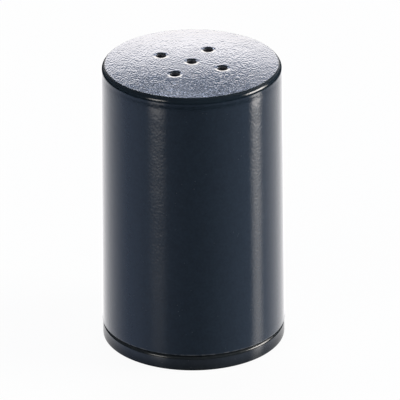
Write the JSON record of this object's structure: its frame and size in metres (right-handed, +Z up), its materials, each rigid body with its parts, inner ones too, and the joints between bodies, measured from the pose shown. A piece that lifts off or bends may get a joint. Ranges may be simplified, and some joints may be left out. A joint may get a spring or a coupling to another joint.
{
  "type": "table spice shaker",
  "caption": "Round moulded table shaker with pour holes in a grained, slightly crowned top and a screw base that closes it from below over a flat gasket.",
  "frame": {"origin": "centre of the underside, on the surface that the shaker stands on", "axes": "+Z up along the shaker's axis, +X and +Y through the outer pour holes"},
  "size_m": [0.05, 0.05, 0.08],
  "materials": {
    "pot_melamine": "moulded black with a blue cast, polished side, fine-grained top",
    "base_melamine": "moulded black, polished",
    "seal_rubber": "matte"
  },
  "bodies": {
    "base": {"base_cap": "base_melamine"},
    "seal": {"seal_ring": "seal_rubber"},
    "pot": {"shell": "pot_melamine"}
  },
  "joints": [
    {"name": "unscrew_turn", "type": "hinge", "parent": "base", "child": "seal", "pos_m": [0, 0, 0], "axis": [0, 0, 1], "range_deg": [0, 900]},
    {"name": "unscrew_rise", "type": "slide", "parent": "seal", "child": "pot", "axis": [0, 0, 1], "range_m": [0, 0.0075]}
  ],
  "couplings": [
    {"joint": "unscrew_rise", "follows": "unscrew_turn", "m_per_rad": 0.00047746}
  ]
}
